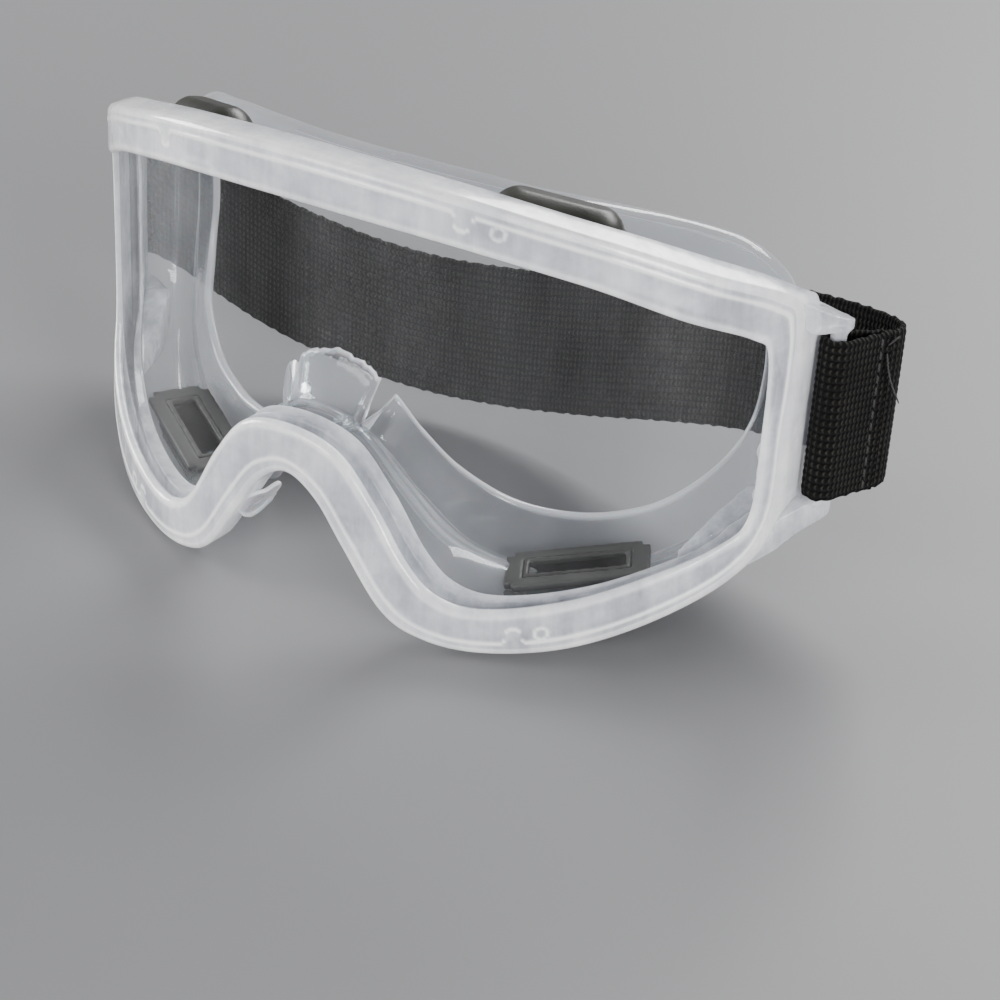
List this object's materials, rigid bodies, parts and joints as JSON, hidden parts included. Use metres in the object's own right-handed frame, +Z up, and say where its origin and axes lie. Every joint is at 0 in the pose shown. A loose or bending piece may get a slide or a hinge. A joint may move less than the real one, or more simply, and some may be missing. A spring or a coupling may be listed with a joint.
{
  "type": "safety goggles",
  "caption": "Clear splash goggles: soft moulded face skirt with nose arch, wide curved lens, shielded vents and a ribbed black elastic head strap.",
  "frame": {"origin": "middle of the goggles' footprint, on the table that they stand on", "axes": "+X to the wearer's left (the viewer's right, seen from in front), +Y from the lens towards the wearer's face, +Z up"},
  "size_m": [0.1791, 0.0807, 0.0903],
  "materials": {
    "frosted_vinyl": "milky translucent soft vinyl with a fine satin frost",
    "clear_vinyl": "clear soft vinyl, glossy, slightly wavy",
    "lens_plastic": "clear hard lens, polished",
    "vent_plastic": "dark olive grey soft plastic, satin",
    "vent_plate_plastic": "grey translucent soft plastic, satin",
    "elastic": "black ribbed knitted elastic webbing",
    "thread": "black sewing thread"
  },
  "bodies": {
    "root": {"lens_frame": "frosted_vinyl", "lens": "lens_plastic", "face_skirt": "clear_vinyl", "strap_lug_right": "frosted_vinyl", "strap_lug_left": "frosted_vinyl", "vent_hood_top_right": "vent_plastic", "vent_hood_top_left": "vent_plastic", "vent_hood_bottom_right": "vent_plastic", "vent_hood_bottom_left": "vent_plastic", "vent_plate_top_right": "vent_plate_plastic", "vent_plate_top_left": "vent_plate_plastic", "vent_plate_bottom_right": "vent_plate_plastic", "vent_plate_bottom_left": "vent_plate_plastic", "strap_loop_right": "elastic", "strap_loop_left": "elastic"},
    "strap": {"strap_side_right": "elastic", "strap_side_left": "elastic", "seam_stitches_right": "thread", "seam_stitches_left": "thread", "thread_tails": "thread"},
    "strap_back": {"strap_back": "elastic"}
  },
  "joints": [
    {"name": "strap_tilt", "type": "hinge", "parent": "root", "child": "strap", "pos_m": [0, 0.0127, 0.0411], "axis": [1, 0, 0], "range_deg": [-8, 35], "deforming": ["strap_loop_right", "strap_loop_left"]},
    {"name": "strap_stretch", "type": "slide", "parent": "strap", "child": "strap_back", "axis": [0, 1, 0], "range_m": [0, 0.08], "stiffness_N_per_m": 35, "deforming": ["strap_side_right", "strap_side_left"]}
  ]
}
